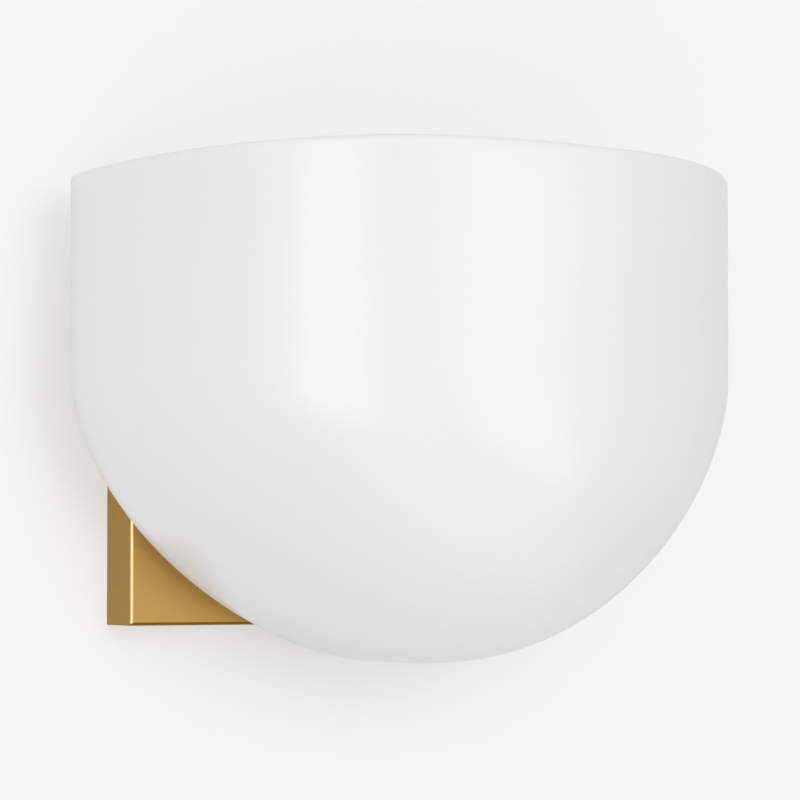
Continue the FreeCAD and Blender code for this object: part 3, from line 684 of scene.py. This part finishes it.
@dataclass
class GlassShade:
    """The opal bowl: half a squarish dish in plan, with an upright wall, a dome and a flat back.

    The half plan, the side view and each level of the dome are superellipses with their own
    powers.
    """

    half_width: float
    back: float
    reach: float
    rim: float
    shoulder: float
    bottom: float
    glass: float = 5 * MM
    rim_round: float = 1.8 * MM
    back_round: float = 0.25 * MM
    lip_height: float = 4.2 * MM
    lip_taper: float = 0.3 * MM
    columns: int = 72
    wall_rows: int = 10
    dome_rows: int = 46

    PLAN_WIDTH_POWER = 2.7
    PLAN_REACH_POWER = 1.65
    SIDE_POWER = 3.5
    SECTION_POWER = 1.7
    HOLE_SEGMENTS = 40
    ROUND_SEGMENTS = 4
    CORNER = 1.0
    TOUCH = 0.01 * MM
    CLEAR_OF_CORNER = 0.03
    WALL_DROP = 75 * MM
    HOLE_PLAY = 0.5 * MM
    LIP_ROWS = 2
    BACK_ROUND_SEGMENTS = 2
    BACK_ROUND_STOP = 3 * MM
    SHARP_DEGREES = 38

    @classmethod
    def from_frame(cls) -> "GlassShade":
        """Takes the bowl's sizes from its solid."""
        low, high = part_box("glass_shade")
        shoulder = high.z - cls.WALL_DROP
        return cls(high.x, high.y, high.y - low.y, high.z, shoulder, low.z)

    def holes(self) -> Iterable[tuple[float, float, float]]:
        """The holes in the back wall, for the wire stem and the two studs.

        Returns:
            The centre x, the centre z and the radius of each hole.
        """
        low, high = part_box("wire_stem")
        yield 0.0, (low.z + high.z) / 2, (high.x - low.x) / 2 + self.HOLE_PLAY
        low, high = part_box("shade_studs")
        radius = (high.z - low.z) / 2
        for x in (low.x + radius, high.x - radius):
            yield x, (low.z + high.z) / 2, radius + self.HOLE_PLAY

    def across(self, share: float) -> float:
        """Spreads the columns evenly, with the two next to the back clear of the corners' glass.

        Args:
            share: A column's place in an even grid, from 0 to 1.

        Returns:
            Its place along the plan curve, from 0 to 1.
        """
        column = round(share * self.columns)
        if column in (0, self.columns):
            return share
        inner = (column - 1) / (self.columns - 2)
        return self.CLEAR_OF_CORNER + (1 - 2 * self.CLEAR_OF_CORNER) * inner

    def point(self, across: float, down: float) -> Vector:
        """A point of the outer face.

        Args:
            across: 0 at the right back edge and 1 at the left back edge.
            down: The row, 0 at the rim, which counts rows of the wall and then of the dome.

        Returns:
            The point.
        """
        row = down - self.wall_rows
        part = max(0.0, row / self.dome_rows)
        norm = (part**self.SIDE_POWER + (1 - part) ** self.SIDE_POWER) ** (1 / self.SIDE_POWER)
        drop = part / norm
        nose = (1 - part) / norm
        swing = max(0.0, math.sin(math.pi * across))
        depth = nose * swing ** (2 / self.PLAN_REACH_POWER)
        width = (1 - depth**self.PLAN_REACH_POWER) ** (1 / self.PLAN_WIDTH_POWER)
        side = (1 - depth**self.SIDE_POWER) ** (1 / self.SIDE_POWER)
        fall = min(1.0, drop / side) if drop else 0.0
        lean = (1 - fall**self.SECTION_POWER) ** (1 / self.SECTION_POWER)
        height = self.shoulder - (self.shoulder - self.bottom) * drop
        taper = 0.0
        if down <= self.LIP_ROWS:
            height = self.rim - self.lip_height * down / self.LIP_ROWS
            taper = self.lip_taper * (1 - down / self.LIP_ROWS) ** 2
        elif row < 0:
            wall = self.rim - self.lip_height - self.shoulder
            height = self.shoulder - wall * row / (self.wall_rows - self.LIP_ROWS)
        toward = 1 if across < 0.5 else -1
        x = toward * (self.half_width - taper) * width * lean
        return Vector((x, self.back - (self.reach - taper) * depth, height))

    def outer_shell(self) -> bmesh.types.BMesh:
        """The outer face of the bowl, from one back edge round to the other.

        Returns:
            A bmesh, open at the rim and at the back.
        """
        shell = bmesh.new()
        rows = self.wall_rows + self.dome_rows
        bmesh.ops.create_grid(shell, x_segments=self.columns, y_segments=rows, size=0.5)
        for vert in shell.verts:
            vert.co = self.point(self.across(vert.co.x + 0.5), rows * (0.5 - vert.co.y))
        bmesh.ops.remove_doubles(shell, verts=shell.verts, dist=self.TOUCH)
        return shell

    def add_back_wall(self, shell: bmesh.types.BMesh) -> None:
        """Closes the back with a flat wall that has its holes.

        Args:
            shell: The outer face.
        """
        edge_of_back = self.back - self.TOUCH
        outline = [edge for edge in shell.edges
                   if edge.is_boundary and all(v.co.y > edge_of_back for v in edge.verts)]
        tops = [v for edge in outline for v in edge.verts if v.co.z > self.rim - self.TOUCH]
        outline.append(shell.edges.new(tops))
        for x, z, radius in self.holes():
            place = Matrix.Translation((x, self.back, z)) @ Matrix.Rotation(math.pi / 2, 4, "X")
            ring = bmesh.ops.create_circle(
                shell, segments=self.HOLE_SEGMENTS, radius=radius, matrix=place)["verts"]
            outline.extend({edge for vert in ring for edge in vert.link_edges})
        bmesh.ops.triangle_fill(shell, use_beauty=True, edges=outline, normal=(0, 1, 0))

    def round_edges(self, shell: bmesh.types.BMesh) -> None:
        """Rounds the rim inside and out, and the outer edge of the back.

        Args:
            shell: The bowl with its thickness.
        """
        def corners(test: Callable[[Vector], bool]) -> list[bmesh.types.BMEdge]:
            """Picks the sharp edges.

            Args:
                test: What both ends of an edge have to pass.

            Returns:
                The edges.
            """
            return [edge for edge in shell.edges if len(edge.link_faces) == 2
                    and edge.calc_face_angle() > self.CORNER
                    and all(test(vert.co) for vert in edge.verts)]

        def on_back(place: Vector) -> bool:
            """Tests for the back's outer edge.

            Args:
                place: A point of the bowl.

            Returns:
                Whether it lies on the back, clear of the holes, the rim and the bottom.
            """
            clear = all(math.hypot(place.x - x, place.z - z) > radius + MM
                        for x, z, radius in self.holes())
            upright = self.bottom + self.BACK_ROUND_STOP < place.z < self.rim - MM
            return clear and upright and place.y > self.back - self.TOUCH

        rim = corners(lambda place: place.z > self.rim - self.TOUCH)
        bmesh.ops.bevel(shell, geom=rim, offset=self.rim_round, segments=self.ROUND_SEGMENTS,
                        profile=0.5, affect="EDGES", material=-1, clamp_overlap=False)
        bmesh.ops.bevel(shell, geom=corners(on_back), offset=self.back_round,
                        segments=self.BACK_ROUND_SEGMENTS, profile=0.5, affect="EDGES",
                        material=-1, clamp_overlap=False)

    def build(self, finisher: Finisher) -> bpy.types.Object:
        """Models the bowl and puts it in the place of its solid.

        Args:
            finisher: Dresses the piece.

        Returns:
            The bowl.
        """
        shell = self.outer_shell()
        self.add_back_wall(shell)
        bmesh.ops.recalc_face_normals(shell, faces=shell.faces)
        front = min(shell.faces, key=lambda face: face.calc_center_median().y)
        if front.normal.y > 0:
            bmesh.ops.reverse_faces(shell, faces=shell.faces)
        bmesh.ops.solidify(shell, geom=shell.faces, thickness=self.glass)
        self.round_edges(shell)
        piece = as_piece(shell, "opal_bowl", self.SHARP_DEGREES)
        finisher.dress_piece(piece, "opal_glass", "fixture", "glass_shade")
        return piece


@dataclass
class CandleLamp:
    """One screw-in candle lamp, whose cap gets its rolled thread here."""

    side: Side
    pitch: float = 2.82 * MM
    thread_depth: float = 0.7 * MM
    wall: float = 0.35 * MM
    plain_top: float = 6.4 * MM
    steps_round: int = 36
    steps_along: int = 8

    PARTS = ("glass", "collar", "tip", "stem", "filament")
    FLARE = 0.5 * MM
    TOUCH = 0.005 * MM
    SHARP_DEGREES = 40

    def thread(self, radius: float, bottom: float, top: float) -> bmesh.types.BMesh:
        """One wall of the cap, a round thread below and a plain band above.

        Args:
            radius: The crest radius.
            bottom: The lower end.
            top: Where the thread runs out.

        Returns:
            A bmesh about the Z axis, open at both ends.
        """
        cap = bmesh.new()
        turns = math.ceil((top - bottom) / self.pitch) + 2
        start = bottom - self.pitch
        verts = []
        for step in range(self.steps_along + 1):
            share = step / self.steps_along
            inset = self.thread_depth * (1 - math.cos(2 * math.pi * share)) / 2
            verts.append(cap.verts.new((radius - inset, 0, start + share * self.pitch)))
        edges = [cap.edges.new(pair) for pair in zip(verts, verts[1:])]
        steps = self.steps_round * turns
        bmesh.ops.spin(cap, geom=verts + edges, cent=(0, 0, 0), axis=(0, 0, 1),
                       dvec=(0, 0, self.pitch / self.steps_round), angle=2 * math.pi * turns,
                       steps=steps, use_duplicate=False)
        bmesh.ops.remove_doubles(cap, verts=cap.verts, dist=self.TOUCH)
        for height, sense in ((bottom, -1), (top, 1)):
            geometry = cap.verts[:] + cap.edges[:] + cap.faces[:]
            bmesh.ops.bisect_plane(cap, geom=geometry, plane_co=(0, 0, height),
                                   plane_no=(0, 0, sense), clear_outer=True)
        return cap

    def build_cap(self, finisher: Finisher) -> None:
        """Models the cap and puts it in the place of its solid.

        Args:
            finisher: Dresses the piece.
        """
        node = f"lamp_{self.side.value}_base"
        low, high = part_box(node)
        radius = (high.x - low.x) / 2
        thread_end = high.z - self.plain_top
        cap = self.thread(radius, low.z, thread_end)
        upper = [edge for edge in cap.edges if edge.is_boundary
                 and all(vert.co.z > thread_end - 2 * self.TOUCH for vert in edge.verts)]
        for height in (thread_end + self.FLARE, high.z):
            made = bmesh.ops.extrude_edge_only(cap, edges=upper)["geom"]
            verts = [part for part in made if isinstance(part, bmesh.types.BMVert)]
            upper = [part for part in made if isinstance(part, bmesh.types.BMEdge)]
            for vert in verts:
                grow = radius / math.hypot(vert.co.x, vert.co.y)
                vert.co = (vert.co.x * grow, vert.co.y * grow, height)
        bmesh.ops.recalc_face_normals(cap, faces=cap.faces)
        outer = max(cap.faces, key=lambda face: face.calc_center_median().x)
        if outer.normal.x < 0:
            bmesh.ops.reverse_faces(cap, faces=cap.faces)
        bmesh.ops.solidify(cap, geom=cap.faces, thickness=self.wall)
        middle = (low + high) / 2
        bmesh.ops.translate(cap, verts=cap.verts, vec=(middle.x, middle.y, 0))
        piece = as_piece(cap, f"lamp_{self.side.value}_cap", self.SHARP_DEGREES)
        finisher.dress_piece(piece, "nickel_base", f"lamp_{self.side.value}", node)

    def build(self, finisher: Finisher) -> None:
        """Models the cap and dresses the lamp's other parts.

        Args:
            finisher: Dresses the nodes and the piece.
        """
        self.build_cap(finisher)
        for part in self.PARTS:
            finisher.dress_node(f"lamp_{self.side.value}_{part}")


@dataclass
class Lampholder:
    """One lampholder with its shell, contact, terminal screws and wires."""

    side: Side

    def build(self, finisher: Finisher) -> None:
        """Dresses the holder's nodes and its two wires.

        Args:
            finisher: Dresses the nodes.
        """
        for part in ("body", "shell", "contact", "screws"):
            finisher.dress_node(f"lampholder_{self.side.value}_{part}")
        for wire in ("live", "neutral"):
            finisher.dress_node(f"{self.side.value}_{wire}_wire")
        finisher.dress_node(f"shade_nut_{self.side.value}")


@dataclass
class WallFitting:
    """The wall bracket, the brass pan with its screws, and what holds the bowl and the tray."""

    nodes: tuple[str, ...] = (
        "wall_bracket", "backplate", "plate_screw_top", "plate_screw_bottom",
        "shade_studs", "stud_lock_nuts", "shade_spacers", "outer_gaskets", "inner_gaskets",
        "stud_washers", "wire_stem", "stem_spacer", "stem_nuts", "stem_bushes",
        "lamp_tray", "lampholder_nuts",
    )

    def build(self, finisher: Finisher) -> None:
        """Dresses the fitting's nodes.

        Args:
            finisher: Dresses the nodes.
        """
        for name in self.nodes:
            finisher.dress_node(name)


@dataclass
class Connections:
    """The terminal block and the earth point on the wall bracket."""

    nodes: tuple[str, ...] = (
        "terminal_block", "terminal_sleeves", "terminal_clamp_screws", "terminal_block_screws",
        "earth_screw", "earth_ring_terminal", "earth_wire",
    )

    def build(self, finisher: Finisher) -> None:
        """Dresses the connections' nodes.

        Args:
            finisher: Dresses the nodes.
        """
        for name in self.nodes:
            finisher.dress_node(name)


@dataclass(frozen=True)
class Softbox:
    """A soft rectangular lamp that faces the bowl.

    Its azimuth and elevation are in degrees as seen from the bowl, 0 being straight out from the
    wall, and its radiance is in watts to the steradian and square metre.
    """

    name: str
    use: LampUse
    azimuth: float
    elevation: float
    distance: float
    width: float
    height: float
    radiance: float

    def build(self, receivers: dict[LampUse, bpy.types.Collection]) -> None:
        """Hangs the lamp in the room, unseen by the camera itself.

        Args:
            receivers: The collection that a lamp of some use lights alone.
        """
        lamp = bpy.data.lights.new(self.name, "AREA")
        lamp.shape = "RECTANGLE"
        lamp.size = self.width
        lamp.size_y = self.height
        lamp.energy = self.radiance * math.pi * self.width * self.height
        turn = math.radians(self.azimuth)
        rise = math.radians(self.elevation)
        level = Vector((math.sin(turn), -math.cos(turn), 0))
        away = level * math.cos(rise) + Vector((0, 0, math.sin(rise)))
        softbox = bpy.data.objects.new(self.name, lamp)
        softbox.location = Studio.MIDDLE + away * self.distance
        softbox.rotation_euler = away.to_track_quat("Z", "Y").to_euler()
        softbox.visible_camera = False
        softbox.visible_glossy = self.use in (LampUse.REFLECTION, LampUse.BOWL)
        softbox.visible_diffuse = not softbox.visible_glossy
        if self.use in receivers:
            softbox.light_linking.receiver_collection = receivers[self.use]
        bpy.context.scene.collection.objects.link(softbox)
        LOG.info("hung %s", self.name)


@dataclass
class Studio:
    """The pale wall and floor, the lamps and the plain surroundings."""

    wall_white: float = 0.34
    wall_glow: float = 0.512
    floor_white: float = 0.80
    floor_drop: float = 1.3
    size: float = 8.0
    front_light: float = 0.73
    left_light: float = 0.12
    back_light: float = 0.71
    backdrop: float = 0.904

    MIDDLE = Vector((0, -0.09, 0.0))
    WALL_SET_BACK = 0.2 * MM
    LIGHTS = (
        Softbox("front_lamp", LampUse.LIGHTING, azimuth=-14, elevation=8, distance=2.0,
                width=0.8, height=0.8, radiance=2.4),
        Softbox("low_lamp", LampUse.LIGHTING, azimuth=-32, elevation=-30, distance=2.0,
                width=1.2, height=1.2, radiance=1.9),
        Softbox("wall_lamp", LampUse.WALL, azimuth=1, elevation=6, distance=2.0,
                width=0.9, height=0.9, radiance=5.5),
        Softbox("left_softbox", LampUse.REFLECTION, azimuth=-60, elevation=-1, distance=1.6,
                width=0.75, height=1.1, radiance=2.0),
        Softbox("right_softbox", LampUse.BOWL, azimuth=15, elevation=3, distance=1.6,
                width=0.95, height=0.75, radiance=1.7),
    )

    def seen(self, shader: Shader) -> Signal:
        """Tells what is looked at from what only gives light.

        Args:
            shader: The shader of the wall or the world.

        Returns:
            1 for what the camera, a reflection or clear glass sees, and 0 for soft light.
        """
        path = shader.node("ShaderNodeLightPath", {}, {})
        camera = Signal(shader, path.outputs["Is Camera Ray"])
        glossy = Signal(shader, path.outputs["Is Glossy Ray"])
        through = Signal(shader, path.outputs["Is Transmission Ray"])
        return camera + glossy + through

    def build_wall(self) -> bpy.types.Object:
        """Stands the wall behind the fitting. Light from behind passes, and only its front shows.

        Returns:
            The wall.
        """
        shader, material = Shader.of_material("wall_paint")
        geometry = shader.node("ShaderNodeNewGeometry", {}, {})
        front = 1 - Signal(shader, geometry.outputs["Backfacing"])
        paint = shader.node("ShaderNodeBsdfDiffuse", {}, {0: (self.wall_white,) * 3 + (1,)})
        glow = shader.node("ShaderNodeEmission", {}, {0: (1, 1, 1, 1), 1: self.wall_glow})
        pale = shader.node("ShaderNodeAddShader", {}, {0: paint.outputs[0], 1: glow.outputs[0]})
        clear = shader.node("ShaderNodeBsdfTransparent", {}, {})
        values = {0: self.seen(shader) * front, 1: clear.outputs[0], 2: pale.outputs[0]}
        mixed = shader.node("ShaderNodeMixShader", {}, values)
        shader.tree.links.new(mixed.outputs[0], shader.output.inputs[0])
        turn = Matrix.Rotation(math.pi / 2, 4, "X")
        place = Matrix.Translation((0, self.WALL_SET_BACK, 0)) @ turn
        return self.sheet("wall", place, material)

    def build_floor(self) -> None:
        """Lays the floor well below the light."""
        shader, material = Shader.of_material("floor_paint")
        clouds = shader.noise(3, 2)
        white = (self.floor_white,) * 3
        shade = (self.floor_white * 0.97,) * 3
        shader.surface({"Base Color": shader.blend(clouds, white, shade), "Roughness": 0.8})
        self.sheet("floor", Matrix.Translation((0, 0, -self.floor_drop)), material)

    def sheet(self, name: str, place: Matrix,
              material: bpy.types.Material) -> bpy.types.Object:
        """Adds a flat sheet that isn't part of the object.

        Args:
            name: The sheet's name.
            place: Where it lies.
            material: What it shows.

        Returns:
            The sheet.
        """
        flat = bmesh.new()
        bmesh.ops.create_grid(flat, x_segments=1, y_segments=1, size=self.size / 2, matrix=place)
        mesh = bpy.data.meshes.new(name)
        flat.to_mesh(mesh)
        flat.free()
        mesh.materials.append(material)
        sheet = bpy.data.objects.new(name, mesh)
        bpy.context.scene.collection.objects.link(sheet)
        return sheet

    def build_world(self) -> None:
        """Surrounds the room with even light, a little stronger from the wall's side."""
        world = bpy.data.worlds.new("room")
        world.use_nodes = True
        bpy.context.scene.world = world
        shader = Shader(world.node_tree, "ShaderNodeOutputWorld")
        coordinates = shader.node("ShaderNodeTexCoord", {}, {})
        parts = shader.node("ShaderNodeSeparateXYZ", {}, {0: coordinates.outputs["Generated"]})
        behind = Signal(shader, parts.outputs[1]).over(-0.25, 0.25)
        leftward = 1 - Signal(shader, parts.outputs[0]).over(-0.7, 0.3)
        front = self.front_light + leftward * self.left_light
        strength = front + behind * (self.back_light - front)
        soft = shader.node("ShaderNodeBackground", {}, {1: strength})
        shown = shader.node("ShaderNodeBackground", {}, {1: self.backdrop})
        for background in (soft, shown):
            background.inputs[0].default_value = (1, 1, 1, 1)
        values = {0: self.seen(shader), 1: soft.outputs[0], 2: shown.outputs[0]}
        mixed = shader.node("ShaderNodeMixShader", {}, values)
        shader.tree.links.new(mixed.outputs[0], shader.output.inputs[0])

    def build(self, bowl: bpy.types.Object) -> None:
        """Builds the whole room.

        Args:
            bowl: The glass bowl, in whose gloss alone some lamps show.
        """
        receivers = {}
        for use, lit in ((LampUse.WALL, self.build_wall()), (LampUse.BOWL, bowl)):
            receivers[use] = bpy.data.collections.new(f"{use.value}_alone")
            receivers[use].objects.link(lit)
        self.build_floor()
        self.build_world()
        for light in self.LIGHTS:
            light.build(receivers)
        scene = bpy.context.scene
        scene.view_settings.view_transform = "Standard"
        LOG.info("built the studio")


@dataclass
class Viewpoint:
    """The camera at the photograph's view, a little below the bowl and to its left.

    Its angles are in radians, its lens in millimetres and its shift in widths of the picture.
    """

    place: tuple[float, float, float] = (-0.44975, -0.87227, -0.05333)
    yaw: float = 0.50231
    pitch: float = 0.02493
    lens: float = 110.221
    shift: float = 0.15
    nearest: float = 0.01

    def build(self) -> None:
        """Places the camera and makes it the scene's."""
        camera = bpy.data.cameras.new("view")
        camera.lens = self.lens
        camera.shift_y = self.shift
        camera.clip_start = self.nearest
        camera.dof.use_dof = False
        stand = bpy.data.objects.new("view", camera)
        stand.location = self.place
        stand.rotation_euler = (math.pi / 2 + self.pitch, 0, -self.yaw)
        bpy.context.scene.collection.objects.link(stand)
        bpy.context.scene.camera = stand


def main() -> None:
    """Builds the light and its room."""
    logging.basicConfig(level=logging.INFO, format="%(name)s: %(message)s")
    finisher = Finisher()
    WallFitting().build(finisher)
    Connections().build(finisher)
    for side in Side:
        Lampholder(side).build(finisher)
        CandleLamp(side).build(finisher)
    Studio().build(GlassShade.from_frame().build(finisher))
    Viewpoint().build()


if __name__ == "__main__":
    main()
